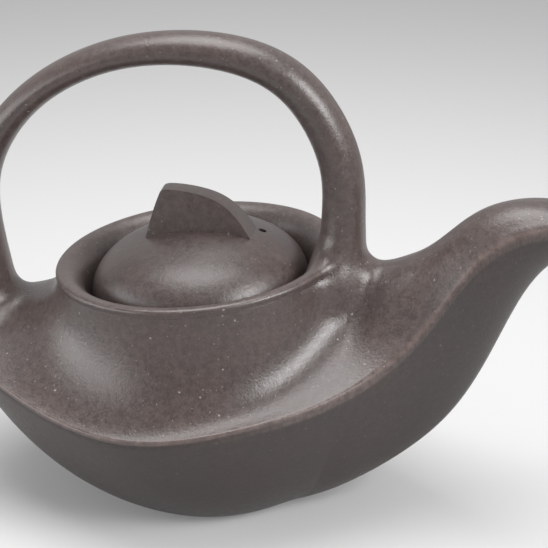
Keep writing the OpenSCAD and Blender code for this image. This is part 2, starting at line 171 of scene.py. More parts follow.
bowl_clay = clay("bowl_clay", 1.0, 0.35, 0.55)
inner_clay = clay("inner_clay", 0.80, 0.62, 0.20)


def dress(piece, body, material, slot, *nodes):
    """Gives a piece its clay, puts it on its body and lets it stand for its CAD nodes."""
    piece.data.materials.clear()
    piece.data.materials.append(material)
    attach(piece, body)
    if nodes:
        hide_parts(*nodes)


def dress_node(name, material):
    """Gives the clay to a CAD node whose own shape is kept."""
    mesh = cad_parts[name].data
    mesh.materials.clear()
    mesh.materials.append(material)


dress_node("base_disc", bowl_clay)


# Lower bowl: the convex lower shell, beaten from a slab over a mould, from the flat base up to the ridge.
# Its section runs full below the ridge and flat onto the base, and ahead of the base into the spout's keel.
# Lengths are in millimetres, with x toward the spout, z up and the near half at negative y.
MM = 0.001
body_w = 113.0
tail_x = 82.5
ridge_z = 38.5
tail_z = 56.0
wall = 3.2
base_r = 26.5
floor_t = 4.0
spout_x = 113.0
spout_z = 98.5
tip_w = 19.0
tip_h = 12.0
ridge_round = 1.3
seam_depth = 0.4
seam_drop = 1.9

# Stations s run along the ridge, from 0 at the tail to 1 at the tip of the spout.
# Up to share the sections end round the base and the mouth, and beyond it on the keel and the crest.
share = 0.56
joint_s = 0.68
tip_s = 0.987


def ease(t):
    t = np.clip(t, 0, 1)
    return t * t * (3 - 2 * t)


def mix(a, b, t):
    return a * (1 - t) + b * t


def led(points):
    """Adds the outer control points that make the spline start and end on its own points."""
    p = np.array(points, float)
    return np.vstack([2 * p[0] - p[1], p, 2 * p[-1] - p[-2]])


def spline(controls, t):
    """Cubic B-spline at the parameters t, from 0 to 1."""
    spans = len(controls) - 3
    x = np.clip(np.asarray(t, float), 0, 1) * spans
    i = np.minimum(x.astype(int), spans - 1)
    f = (x - i)[..., None]
    return ((1 - f) ** 3 * controls[i] + (3 * f ** 3 - 6 * f ** 2 + 4) * controls[i + 1]
            + (-3 * f ** 3 + 3 * f ** 2 + 3 * f + 1) * controls[i + 2] + f ** 3 * controls[i + 3]) / 6


def heading(controls, t):
    step = 0.002
    t = np.clip(np.asarray(t, float), 0, 1)
    d = spline(controls, t + step) - spline(controls, t - step)
    return d / np.linalg.norm(d, axis=-1, keepdims=True)


def bezier(a, b, c, d, v):
    """Section curves: one for each station, at the parameters v."""
    v = np.asarray(v, float)[None, :, None]
    a, b, c, d = (p[:, None, :] for p in (a, b, c, d))
    return (1 - v) ** 3 * a + 3 * v * (1 - v) ** 2 * b + 3 * v * v * (1 - v) * c + v ** 3 * d


def xyz(x, y, z):
    return np.stack(np.broadcast_arrays(x, y, z), axis=-1).astype(float)


half_w = body_w / 2
ridge_points = np.array([
    [-1.03 * tail_x, 0, tail_z + 1],
    [-0.94 * tail_x, -0.42 * half_w, tail_z - 6.5],
    [-0.66 * tail_x, -0.72 * half_w, ridge_z + 3],
    [-0.21 * tail_x, -1.05 * half_w, ridge_z - 3],
    [0.18 * spout_x, -0.93 * half_w, ridge_z + 5],
    [0.40 * spout_x, -0.63 * half_w, 0.474 * spout_z],
    [0.59 * spout_x, -0.35 * half_w, 0.61 * spout_z],
    [0.72 * spout_x, -tip_w / 2 - 4.5, 0.897 * spout_z],
    [0.87 * spout_x, -tip_w / 2 - 2, 0.98 * spout_z],
    [spout_x, -tip_w / 2, spout_z - 2.5]])
ridge_controls = led(ridge_points)
ridge_controls[0] = ridge_points[1] * [1, -1, 1]
keel_controls = led([
    [base_r, 0],
    [0.41 * spout_x, 0.07 * spout_z],
    [0.63 * spout_x, 0.235 * spout_z],
    [0.74 * spout_x, 0.437 * spout_z],
    [0.83 * spout_x, 0.712 * spout_z],
    [0.91 * spout_x, spout_z + 2 - 1.5 * tip_h],
    [spout_x - 1, spout_z - tip_h]])


def ridge(s):
    return spline(ridge_controls, s)


def rear(s):
    """How far a station lies in the hollow behind the mouth."""
    return 1 - ease((s - 0.12) / 0.2)


def ridge_in(s):
    """Inside of the ridge, set in where the two shells are luted together."""
    p = ridge(s)
    d = heading(ridge_controls, s)
    inward = np.stack([-d[:, 1], d[:, 0]], axis=-1)
    inward = inward / np.maximum(np.linalg.norm(inward, axis=-1, keepdims=True), 0.01)
    thick = mix(2.0, 1.25, ease((s - 0.5) / 0.4)) * wall
    return xyz(p[:, 0] + thick * inward[:, 0], np.minimum(p[:, 1] + thick * inward[:, 1], 0),
               p[:, 2] - mix(0.35, 0.9, rear(s)) * wall)


def past_share(s):
    return (s - share) / (1 - share)


def base_angle(s):
    return math.pi * (1 - np.clip(s / share, 0, 1))


def base_ring(s, r, z):
    """Places on a circle over the base, where the sections end."""
    a = base_angle(s)
    return xyz(r * np.cos(a), -r * np.sin(a), z + 0 * a)


def keel_half(s):
    return 0.5 + 14 * (1 - ease((s - share + 0.06) / 0.33))


def onto_keel(s):
    """How far the lower edge has left the base for the keel."""
    return ease((s - share + 0.14) / 0.19)[:, None]


def foot_out(s):
    c = spline(keel_controls, past_share(s))
    return mix(base_ring(s, base_r + 1, 0), xyz(c[:, 0], -keel_half(s), c[:, 1]), onto_keel(s))


def foot_mid(s):
    c = spline(keel_controls, past_share(s))
    return np.where((s <= share)[:, None], base_ring(s, base_r, 0), xyz(c[:, 0], 0 * s, c[:, 1]))


def keel_in(s):
    c = spline(keel_controls, past_share(s))
    d = heading(keel_controls, past_share(s))
    f = ease((s - share) / 0.1)[:, None]
    inside = np.stack([c[:, 0] - wall * d[:, 1], c[:, 1] + wall * d[:, 0]], axis=-1)
    return mix(np.array([base_r, floor_t]), inside, f)


def foot_in(s):
    c = keel_in(s)
    on_keel = xyz(c[:, 0], -0.9 * (keel_half(s) - 0.5), c[:, 1])
    return mix(base_ring(s, base_r + 1, floor_t), on_keel, onto_keel(s))


def foot_mid_in(s):
    c = keel_in(s)
    return np.where((s <= share)[:, None], base_ring(s, base_r, floor_t), xyz(c[:, 0], 0 * s, c[:, 1]))


def under(r, b, s, v):
    """Bowl section from the ridge down to the base or keel."""
    d = b - r
    k = mix(0.46, 0.35, ease((s - 0.5) / 0.25))
    upper = r + d * [0.12, 0.12, 0.41]
    lower = b - d * np.stack([k, k, 0.03 + 0 * k], axis=-1)
    return bezier(r, upper, lower, b, v)


def unit(p):
    return p / np.maximum(np.linalg.norm(p, axis=-1, keepdims=True), 1e-9)


def run_length(rows):
    """Distance of each point from the first one of its section."""
    steps = np.linalg.norm(np.diff(rows, axis=1), axis=-1)
    return np.concatenate([np.zeros((len(rows), 1)), np.cumsum(steps, axis=1)], axis=1)


def soften_ridge(rows, s, other):
    """Rounds the sharp ridge: points near it move toward the bisector of the two shells."""
    along_self = unit(rows[:, 3] - rows[:, 0])
    along_other = unit(other[:, 3] - other[:, 0])
    bisector = unit(along_self + along_other)
    cosine = np.sum(along_self * bisector, axis=-1)
    radius = mix(ridge_round, 2.2 * ridge_round, ease((s - 0.45) / 0.3))
    away = np.clip(1 - run_length(rows) / radius[:, None], 0, 1)
    return rows + (0.5 * radius * cosine)[:, None, None] * away[..., None] ** 2 * bisector[:, None, :]


ring_count = 221
body_stations = np.concatenate([np.linspace(0, share, ring_count), np.linspace(share, joint_s, 49)[1:]])
spout_stations = np.linspace(joint_s, tip_s, 121)
row_share = np.arange(81) / 80
skin_rows = row_share ** 1.6 / (row_share ** 1.6 + (1 - row_share) ** 1.35)
inner_rows = np.arange(17) / 16


def count_of(points):
    return sum(len(group) for group in points)


def add_patch(points, faces, grid, side=1):
    """Adds a grid of points and its quads, or its mirror image with side -1, and returns their numbers."""
    first = count_of(points)
    index = np.arange(grid.shape[0] * grid.shape[1]).reshape(grid.shape[:2]) + first
    quads = np.stack([index[:-1, :-1], index[1:, :-1], index[1:, 1:], index[:-1, 1:]], axis=-1)
    faces.extend(quads.reshape(-1, 4)[:, ::side].tolist())
    points.append((grid * [1, side, 1]).reshape(-1, 3))
    return range(first, first + index.size)


def put(name, data):
    """Puts an object with this data in the scene."""
    thing = bpy.data.objects.new(name, data)
    bpy.context.scene.collection.objects.link(thing)
    return thing


weld_gap = 2e-6
sharp_angle = math.radians(38)


def welded(name, mesh, skin=()):
    """Closes a mesh where its patches meet and puts it in the scene as a piece, smooth but for its edges.
    Where points fall together, those of the skin stay and keep their fields."""
    weld = bmesh.new()
    weld.from_mesh(mesh)
    if skin:
        weld.verts.ensure_lookup_table()
        stay = [weld.verts[i] for i in skin]
        doubles = bmesh.ops.find_doubles(weld, verts=weld.verts, keep_verts=stay, dist=weld_gap)
        bmesh.ops.weld_verts(weld, targetmap=doubles["targetmap"])
    bmesh.ops.remove_doubles(weld, verts=weld.verts, dist=weld_gap)
    bmesh.ops.dissolve_degenerate(weld, dist=1e-7, edges=weld.edges)
    bmesh.ops.recalc_face_normals(weld, faces=weld.faces)
    weld.to_mesh(mesh)
    weld.free()
    mesh.shade_smooth()
    mesh.set_sharp_from_angle(angle=sharp_angle)
    return put(name, mesh)


field_width = {"wear": 1, "brush": 1, "under_side": 1, "flow": 3}


def luted(name, patches, ends=()):
    """One closed clay piece from the patches of its near half and their mirror images.
    A patch is a grid of points, or a grid with its fields: the wear and painted sheen, the brush marks, the
    painted shade under the ridge and the flow."""
    points = []
    faces = []
    fields = {field: [] for field in field_width}
    skin = []
    for side in (1, -1):
        for entry in patches:
            grid, given = entry if isinstance(entry, tuple) else (entry, {})
            numbers = add_patch(points, faces, grid, side)
            if given:
                skin.extend(numbers)
            for field, width in field_width.items():
                blank = np.zeros((len(numbers), width))
                fields[field].append(given[field].reshape(blank.shape) if given else blank)
        for end in ends:
            first = count_of(points)
            faces.append(list(range(first, first + len(end)))[::side])
            points.append(end * [1, side, 1])
            for field, width in field_width.items():
                fields[field].append(np.zeros((len(end), width)))
    mesh = bpy.data.meshes.new(name)
    mesh.from_pydata((np.concatenate(points) * MM).tolist(), [], faces)
    for field, width in field_width.items():
        layer = mesh.attributes.new(field, "FLOAT" if width == 1 else "FLOAT_VECTOR", "POINT")
        layer.data.foreach_set("value" if width == 1 else "vector",
                               np.concatenate(fields[field]).astype(np.float32).ravel())
    return welded(name, mesh, skin)


# Shoulder: the concave upper shell from the ridge to the neck opening, luted to the bowl edge to edge.
# It stands up under the leaning mouth, and toward the spout it swells over the crest.
mouth_back = 5.0
mouth_z = 75.5
mouth_tilt = math.radians(5.5)
rim_r = 43.5
lip_h = 2.6
neck_r = rim_r - wall
neck_d = 9.0


def mouth(p):
    """From the mouth's own frame, whose axis leans back, to the pot's frame."""
    c, n = math.cos(mouth_tilt), math.sin(mouth_tilt)
    return xyz(-mouth_back + p[..., 0] * c - p[..., 2] * n, p[..., 1],
               mouth_z + p[..., 0] * n + p[..., 2] * c)


def rim(angle, r, h):
    return mouth(xyz(r * np.cos(angle), -r * np.sin(angle), h + 0 * angle))


rim_front = rim(np.array([0.0]), neck_r, -lip_h)[0]
crest_controls = led([
    [rim_front[0], rim_front[2]],
    [0.49 * spout_x, 0.5 * (rim_front[2] + 0.747 * spout_z)],
    [0.615 * spout_x, 0.865 * spout_z],
    [0.705 * spout_x, 0.985 * spout_z],
    [0.865 * spout_x, spout_z + 3],
    [spout_x, spout_z]])


def crest_half(s):
    return 0.5 + 8 * (1 - ease((s - share + 0.06) / 0.22))


foot_from = 0.40
foot_to = 0.68
foot_controls = led([
    rim(base_angle(np.array([foot_from])), rim_r, -lip_h)[0],
    rim(base_angle(np.array([foot_from + 0.04])), rim_r, -lip_h)[0],
    [0.905 * rim_r - mouth_back, -0.435 * rim_r, rim_front[2] - 0.3],
    [1.025 * rim_r - mouth_back, -0.27 * rim_r, rim_front[2] + 0.4],
    [1.14 * rim_r - mouth_back, -0.18 * rim_r, rim_front[2]],
    [0.44 * spout_x, -0.125 * rim_r, rim_front[2] - 1],
    [0.49 * spout_x, -0.083 * rim_r, rim_front[2] - 0.6],
    [0.55 * spout_x, -0.032 * rim_r, rim_front[2] + 2.5]])


def top_out(s):
    """Upper edge of the shoulder: along the rim, round the handle's foot and on beside the crest."""
    c = spline(crest_controls, past_share(s))
    foot = spline(foot_controls, (s - foot_from) / (foot_to - foot_from))
    edge = mix(rim(base_angle(s), rim_r, -lip_h), foot, ease((s - foot_from) / 0.07)[:, None])
    return mix(edge, xyz(c[:, 0], -crest_half(s), c[:, 1]), ease((s - foot_to + 0.1) / 0.1)[:, None])


def top_mid(s):
    c = spline(crest_controls, past_share(s))
    return np.where((s <= share)[:, None], rim(base_angle(s), neck_r, -lip_h),
                    xyz(c[:, 0], 0 * s, c[:, 1] + 0.12 * crest_half(s)))


def top_in(s):
    c = spline(crest_controls, past_share(s))
    d = heading(crest_controls, past_share(s))
    f = ease((s - share) / 0.1)[:, None]
    inside = xyz(c[:, 0] + wall * d[:, 1], 0 * s, c[:, 1] - wall * d[:, 0])
    front = rim(np.array([0.0]), neck_r, -neck_d)
    return np.where((s <= share)[:, None], rim(base_angle(s), neck_r, -neck_d), mix(front, inside, f))


def over(r, t, s, v):
    """Shoulder section: leaves the ridge almost flat and stands up under the rim, most at the rear."""
    d = t - r
    swell = ease((s - 0.44) / 0.20)[:, None]
    level = ease((s - 0.55) / 0.13)[:, None]
    behind = rear(s)[:, None]
    flat = mix(np.array([0.42, 0.42, 0.10]), np.array([0.52, 0.52, 0.03]), behind)
    steep = mix(np.array([0, 0, 0.50]), np.array([0, 0, 0.74]), behind)
    low = mix(r + d * flat, r + d * [0.38, 0.32, 0.27], swell)
    high = mix(t - d * steep, t - d * [0.30, 0.62, 0.04], level)
    return bezier(r, low, high, t, v)


def face_out(grid, outward):
    """Unit normals of a grid of points, turned outward by the sign."""
    return unit(outward * np.cross(np.gradient(grid, axis=0), np.gradient(grid, axis=1)))


def outer_skin(s):
    """Shoulder and bowl sections, with the ridge rounded and a fine tool line under it."""
    upper = over(ridge(s), top_out(s), s, skin_rows)
    lower = under(ridge(s), foot_out(s), s, skin_rows)
    below = run_length(lower)
    fade = (1 - ease((s - 0.40) / 0.22))[:, None]
    line = seam_depth * fade * np.exp(-((below - seam_drop) / 0.45) ** 2)
    shaped = lower - line[..., None] * face_out(lower, -1)
    return soften_ridge(upper, s, shaped), soften_ridge(shaped, s, upper)


def skin_fields(rows, s, below):
    """Worn edge with a painted highlight on the brushed band under it, brush marks, the under side darkened
    as painted shade, and the distances along and off the ridge.
    """
    away = run_length(rows)
    run = np.concatenate([[0], np.cumsum(np.linalg.norm(np.diff(rows[:, 0], axis=0), axis=-1))])
    toward_spout = ease((s - 0.36) / 0.18)[:, None]
    band = (1 - ease((away - 2.4) / 1.4)) * toward_spout
    brush = band * (1.0 if below else 0.3)
    wear = np.exp(-(away / 1.8) ** 2)
    if below:
        # Painted highlight: the brushed band under the ridge is lightened with the worn colour, most near
        # the body and less along the spout.
        wear = np.maximum(wear, 0.75 * band * (1 - 0.6 * ease((s - 0.56) / 0.12))[:, None])
    # Painted shade: the under side away from the ridge is darkened in the clay, and is a little rougher
    # too.
    under_side = (1.0 if below else 0.0) * ease(away / 1.5) * (1 - 0.8 * band)
    flow = np.stack([np.broadcast_to(run[:, None], away.shape), away, 0 * away], axis=-1) * MM
    return {"wear": wear, "brush": brush, "under_side": under_side, "flow": flow}


def strip(edge, other, steps=1):
    """A band of clay between two edges."""
    t = np.linspace(0, 1, steps + 1)[None, :, None]
    return mix(edge[:, None], other[:, None], t)


rub_rounds = 120


def rubbed_round(skin, band, s, start):
    """Joins a skin to the band beyond its edge and rubs that edge round from the station start on."""
    grid = np.concatenate([skin, band[:, 1:]], axis=1)
    edge = skin.shape[1] - 1
    column = np.arange(grid.shape[1])
    much = ease((s - start) / 0.06)[:, None] * ease((column - edge + 16) / 6)[None, :]
    for _ in range(rub_rounds):
        beyond = np.where((s > share)[:, None], grid[:, -2] * [1, -1, 1], grid[:, -1])
        wide = np.concatenate([grid[:, :1], grid, beyond[:, None]], axis=1)
        grid = grid + 0.5 * much[..., None] * ((wide[:, :-2] + wide[:, 2:]) / 2 - grid)
    return grid


all_stations = np.concatenate([body_stations, spout_stations[1:]])
body_count = len(body_stations)
joint = body_count - 1
all_upper, all_lower = outer_skin(all_stations)
crest_band = strip(all_upper[:, -1], top_mid(all_stations), 12)
keel_band = strip(all_lower[:, -1], foot_mid(all_stations), 8)
all_upper = rubbed_round(all_upper, crest_band, all_stations, 0.44)
all_lower = rubbed_round(all_lower, keel_band, all_stations, 0.50)
body_upper = all_upper[:body_count]
body_lower = all_lower[:body_count]
spout_upper = all_upper[joint:]
spout_lower = all_lower[joint:]
ring = body_stations[:ring_count]
body_inner_upper = over(ridge_in(body_stations), top_in(body_stations), body_stations, inner_rows)
body_inner_lower = under(ridge_in(body_stations), foot_in(body_stations), body_stations, inner_rows)
lower_bowl = luted("lower_bowl_clay", [
    (body_lower, skin_fields(body_lower, body_stations, True)),
    strip(body_lower[:ring_count, -1], foot_mid_in(ring)),
    strip(foot_mid_in(body_stations), body_inner_lower[:, -1]),
    body_inner_lower,
    strip(body_inner_lower[:, 0], body_lower[:, 0])],
    [np.vstack([body_lower[-1], foot_mid_in(body_stations[-1:]), body_inner_lower[-1, ::-1]])])
shoulder = luted("shoulder_clay", [
    (body_upper, skin_fields(body_upper, body_stations, False)),
    strip(body_upper[:ring_count, -1], top_in(ring)),
    body_inner_upper,
    strip(body_inner_upper[:, 0], body_upper[:, 0])],
    [np.vstack([body_upper[-1], body_inner_upper[-1, ::-1]])])
body_clay = clay("body_clay", 1.0, 0.35, 0.55)
dress(lower_bowl, "pot", bowl_clay, "bowl_clay", "lower_bowl")
dress(shoulder, "pot", body_clay, "body_clay", "shoulder")


# Spout: a horn rolled from a slab, whose sides carry the ridge of the body on to the pouring mouth.
# It is luted over the pierced wall and its seam is burnished away, so the skin runs on unbroken.
def spout_side(s):
    """Evenly matched inner rows for the spout, from the crest to the keel."""
    upper = over(ridge_in(s), top_in(s), s, np.linspace(0, 1, all_upper.shape[1]))
    lower = under(ridge_in(s), foot_in(s), s, np.linspace(0, 1, all_lower.shape[1] - 1))
    return np.concatenate([upper[:, ::-1], lower[:, 1:], foot_mid_in(s)[:, None]], axis=1)


spout_out = np.concatenate([spout_upper[:, ::-1], spout_lower[:, 1:]], axis=1)
spout_in = spout_side(spout_stations)
spout_end = unit(heading(ridge_controls, tip_s) * [1, 0, 1])
lip_turn = np.linspace(0, math.pi, 13)[:, None, None]
tip_middle = (spout_out[-1] + spout_in[-1]) / 2
tip_half = (spout_out[-1] - spout_in[-1]) / 2
tip_round = np.linalg.norm(tip_half, axis=-1, keepdims=True)
tip_lip = tip_middle + np.cos(lip_turn) * tip_half + np.sin(lip_turn) * tip_round * spout_end
spout_fields = {}
for field, upper_values in skin_fields(spout_upper, spout_stations, False).items():
    lower_values = skin_fields(spout_lower, spout_stations, True)[field]
    spout_fields[field] = np.concatenate([upper_values[:, ::-1], lower_values[:, 1:]], axis=1)
spout = luted("spout_clay", [
    (spout_out, spout_fields), spout_in, tip_lip, strip(spout_out[0], spout_in[0])])
dress(spout, "pot", body_clay, "body_clay", "spout")


# Strainer: the pierced clay wall behind the spout that holds the leaves back.
# Its holes are punched by hand before the spout goes on, and it keeps the shape of the CAD node.
dress_node("strainer", inner_clay)


# Rim collar: the rounded lip and the funnel of the mouth, turned true after luting.
# The mouth ring below it is the ledge and bore that carry the lid, and keeps its CAD shape.
seat_depth = 13.6
funnel_w = 10.0
lid_r = rim_r - funnel_w
lid_gap = 0.7
funnel_r = lid_r + lid_gap
slip = 0.1
turn_count = 240


def spun(profile):
    """Points of a profile of radius and height, turned about the mouth's axis."""
    profile = np.array(profile, float)
    angle = np.arange(turn_count)[:, None] * 2 * math.pi / turn_count
    return mouth(xyz(profile[None, :, 0] * np.cos(angle), profile[None, :, 0] * np.sin(angle),
                     profile[None, :, 1]))


def turned(name, points, wear):
    """Solid of revolution about the mouth's axis, from a closed profile at each turn."""
    rows, columns = points.shape[:2]
    faces = []
    for i in range(rows):
        for j in range(columns):
            n = (j + 1) % columns
            faces.append((i * columns + j, (i + 1) % rows * columns + j,
                          (i + 1) % rows * columns + n, i * columns + n))
    mesh = bpy.data.meshes.new(name)
    mesh.from_pydata((points * MM).reshape(-1, 3).tolist(), [], faces)
    layer = mesh.attributes.new("wear", "FLOAT", "POINT")
    layer.data.foreach_set("value", np.tile(np.array(wear, float), rows).astype(np.float32))
    return welded(name, mesh)


lip_top = rim_r - 1.4
fall = np.linspace(0, math.pi / 2, 49)
funnel = np.stack([mix(lip_top, funnel_r, np.sin(fall)), -seat_depth * (1 - np.cos(fall))], axis=-1)


def collar_at(bead):
    """Closed profile of the collar: a lip proud of the neck by the bead, and a bell mouth to the seat."""
    lip_round = spline(led([
        [rim_r, -lip_h], [rim_r, -0.75 * lip_h], [rim_r + bead, -0.55 * lip_h],
        [rim_r - 0.1 + bead, -0.22 * lip_h], [rim_r - 0.55, 0.0], [lip_top, 0]]), np.linspace(0, 1, 21))
    return np.vstack([
        lip_round, funnel[1:],
        [[neck_r - 3, -seat_depth], [neck_r - slip, -neck_d], [neck_r - slip, -lip_h]]])


lip_bead = 0.35
collar_points = spun(collar_at(lip_bead))
collar_wear = np.exp(-((collar_at(0)[:, 1] + 0.2) / 1.2) ** 2) * 0.4
rim_collar = turned("rim_collar_clay", collar_points, collar_wear)
collar_skin = collar_points[:, :-3]
dress(rim_collar, "pot", body_clay, "body_clay", "rim_collar")
dress_node("mouth_ring", inner_clay)


# Handle: a bar of clay pulled to an oval, bent into an arch and luted on behind and before the mouth.
# Its feet are worked into the shoulder with a bamboo knife, so each joint is a soft hollow.
arch_z = 140.0
rear_x = 73.0
leg_out = 1.5
legs_x = -mouth_back + rim_r + leg_out
leg_half = 6.4
crown_half = 4.8
across_half = 7.2


def arch_at(across, up):
    return [mix(-rear_x, legs_x, across), mix(mouth_z, arch_z, up)]


arch_controls = led([
    [legs_x, mouth_z - neck_d / 2],
    arch_at(1, 0.23),
    arch_at(1.005, 0.53),
    arch_at(0.885, 0.90),
    arch_at(0.705, 1.02),
    arch_at(0.49, 1.02),
    arch_at(0.3, 0.925),
    arch_at(0.115, 0.71),
    [-rear_x - 1.5, mix(tail_z, arch_z, 0.5)],
    [-rear_x - 0.5, mix(tail_z, arch_z, 0.22)],
    [-rear_x + 3, tail_z - 3]])
girth_controls = led([
    [leg_half + 1.2, across_half + 5],
    [leg_half, across_half + 0.6],
    [leg_half, across_half + 0.3],
    [leg_half - 0.4, across_half],
    [mix(leg_half, crown_half, 0.6), across_half - 0.2],
    [crown_half, across_half - 0.4],
    [crown_half - 0.4, across_half - 0.4],
    [crown_half - 0.4, across_half - 0.2],
    [crown_half + 0.4, across_half + 0.2],
    [crown_half + 1.8, across_half + 1.8],
    [crown_half + 2.6, across_half + 4.5]])


def pulled_bar():
    """Geometry Nodes tree: a round profile follows the arch and is drawn out to the girth of each place."""
    tree = bpy.data.node_groups.new("pulled_bar", "GeometryNodeTree")
    tree.interface.new_socket("Line", in_out="INPUT", socket_type="NodeSocketGeometry")
    sides = tree.interface.new_socket("Sides", in_out="INPUT", socket_type="NodeSocketInt")
    finish = tree.interface.new_socket("Clay", in_out="INPUT", socket_type="NodeSocketMaterial")
    tree.interface.new_socket("Bar", in_out="OUTPUT", socket_type="NodeSocketGeometry")
    add = tree.nodes.new
    link = tree.links.new
    given = add("NodeGroupInput")
    line = add("GeometryNodeMeshToCurve")
    link(given.outputs["Line"], line.inputs["Mesh"])
    keep = add("GeometryNodeStoreNamedAttribute")
    keep.data_type = "FLOAT_VECTOR"
    keep.inputs["Name"].default_value = "middle"
    link(line.outputs["Curve"], keep.inputs["Geometry"])
    link(add("GeometryNodeInputPosition").outputs[0], keep.inputs["Value"])
    profile = add("GeometryNodeCurvePrimitiveCircle")
    profile.inputs["Radius"].default_value = 1.0
    link(given.outputs["Sides"], profile.inputs["Resolution"])
    sweep = add("GeometryNodeCurveToMesh")
    sweep.inputs["Fill Caps"].default_value = True
    link(keep.outputs["Geometry"], sweep.inputs["Curve"])
    link(profile.outputs["Curve"], sweep.inputs["Profile Curve"])

    def stored(name):
        read = add("GeometryNodeInputNamedAttribute")
        read.data_type = "FLOAT_VECTOR"
        read.inputs["Name"].default_value = name
        return read.outputs[0]

    middle = stored("middle")
    out = add("ShaderNodeVectorMath")
    out.operation = "SUBTRACT"
    link(add("GeometryNodeInputPosition").outputs[0], out.inputs[0])
    link(middle, out.inputs[1])
    drawn = add("ShaderNodeVectorMath")
    drawn.operation = "MULTIPLY_ADD"
    link(out.outputs[0], drawn.inputs[0])
    link(stored("girth"), drawn.inputs[1])
    link(middle, drawn.inputs[2])
    place = add("GeometryNodeSetPosition")
    link(sweep.outputs["Mesh"], place.inputs["Geometry"])
    link(drawn.outputs[0], place.inputs["Position"])
    real = add("GeometryNodeRealizeInstances")
    link(place.outputs["Geometry"], real.inputs["Geometry"])
    paint = add("GeometryNodeSetMaterial")
    link(real.outputs["Geometry"], paint.inputs["Geometry"])
    link(given.outputs["Clay"], paint.inputs["Material"])
    link(paint.outputs["Geometry"], add("NodeGroupOutput").inputs["Bar"])
    return tree, sides.identifier, finish.identifier


arch_count = 361
arch_length = 280.0
bar_sides = 96
arch_reach = np.linspace(-0.05, 1.03, arch_count)
arch_t = np.clip(arch_reach, 0, 1)
foot_run = (arch_reach - arch_t)[:, None] * arch_length
arch_line = spline(arch_controls, arch_t) + foot_run * heading(arch_controls, arch_t)
arch_girth = spline(girth_controls, arch_t) * (1 - 0.5 * ease((arch_t - arch_reach) / 0.05))[:, None]
line_mesh = bpy.data.meshes.new("handle_line")
line_mesh.from_pydata((xyz(arch_line[:, 0], 0 * arch_t, arch_line[:, 1]) * MM).tolist(),
                      [(i, i + 1) for i in range(arch_count - 1)], [])
girth_layer = line_mesh.attributes.new("girth", "FLOAT_VECTOR", "POINT")
girth_values = xyz(arch_girth[:, 0], arch_girth[:, 1], arch_girth[:, 0]) * MM
girth_layer.data.foreach_set("vector", girth_values.astype(np.float32).ravel())
handle = put("handle_clay", line_mesh)
bar = handle.modifiers.new("bar", "NODES")
bar.node_group, sides_key, clay_key = pulled_bar()
bar[sides_key] = bar_sides
bar[clay_key] = body_clay


def finished(piece):
    """Turns a piece's modifiers into its mesh."""
    mesh = bpy.data.meshes.new_from_object(piece.evaluated_get(bpy.context.evaluated_depsgraph_get()))
    piece.modifiers.clear()
    piece.data = mesh
    mesh.shade_smooth()
    return mesh


handle_mesh = finished(handle)


def depth(tree, point):
    """Signed distance to a skin, below zero inside, and the direction in which it grows."""
    spot, normal, _, gap = tree.find_nearest(point)
    away = point - spot
    side = 1.0 if away.dot(normal) >= 0 else -1.0
    if gap < 1e-6:
        return 0.0, normal
    return side * gap, away * (side / gap)


def hollow_size(point):
    """Reach of the worked hollow: wide at the rear foot, narrower on the spout side of the front foot."""
    x = point.x / MM
    front = mix(9.0, 6.0, float(ease((x - legs_x + 5) / 11)))
    return mix(8.0, front, float(ease((x + 60) / 60))) * MM


# Points of the bar's line at its two feet, and the reach and depth to which the skins are worked there.
foot_marks = [0, 20, 40, -45, -25, -1]
foot_spots = xyz(arch_line[foot_marks, 0], 0, arch_line[foot_marks, 1]) * MM
foot_reach = 34.0
skin_depth = 0.3
work_rounds = 6
sink_depth = 0.2
sink_run = 1.5
stay_depth = 3.0


def work_in(piece, own, other):
    """Moves a piece's skin near the joint onto one soft surface that joins it to the other skin.
    Points past the joint go just below that surface, and the worked normals are kept for the shading."""
    mesh = piece.data
    count = len(mesh.vertices)
    worked = np.zeros((count, 3), np.float32)
    buried = np.zeros(count, np.float32)
    places = np.zeros(3 * count, np.float32)
    mesh.vertices.foreach_get("co", places)
    gaps = [np.linalg.norm(places.reshape(-1, 3) - foot, axis=-1) for foot in foot_spots]
    for index in np.nonzero(np.min(gaps, axis=0) < foot_reach * MM)[0]:
        vertex = mesh.vertices[int(index)]
        start = vertex.co.copy()
        reach = hollow_size(start)
        far, _ = depth(other, start)
        if far > reach:
            continue
        near, _ = depth(own, start)
        if near < -skin_depth * MM:
            continue
        buried[vertex.index] = max(near - far, 0)
        point = start.copy()
        for _ in range(work_rounds):
            near, near_way = depth(own, point)
            far, far_way = depth(other, point)
            past = max(near - far, 0) / (sink_run * MM)
            sink = sink_depth * MM * min(past, 1) ** 2
            overlap = max(reach - abs(near - far), 0) / reach
            level = min(near, far) - overlap * overlap * reach / 4 + sink
            weight = min(max(0.5 + (far - near) / (2 * reach), 0), 1)
            way = near_way * weight + far_way * (1 - weight)
            point = point - way * (level / max(way.length_squared, 0.25))
        keep = float(ease((buried[vertex.index] / MM - stay_depth) / stay_depth))
        vertex.co = point.lerp(start, keep)
        worked[vertex.index] = way.normalized()
    return worked, buried


pot_points = []
pot_faces = []
near_half = np.concatenate([all_lower[:, :0:-1], all_upper], axis=1)
add_patch(pot_points, pot_faces, near_half)
add_patch(pot_points, pot_faces, near_half, -1)
add_patch(pot_points, pot_faces, np.concatenate([collar_skin, collar_skin[:1]]))
pot_skin = BVHTree.FromPolygons((np.concatenate(pot_points) * MM).tolist(), pot_faces)
bar_skin = BVHTree.FromPolygons([v.co for v in handle_mesh.vertices],
                                [f.vertices for f in handle_mesh.polygons])

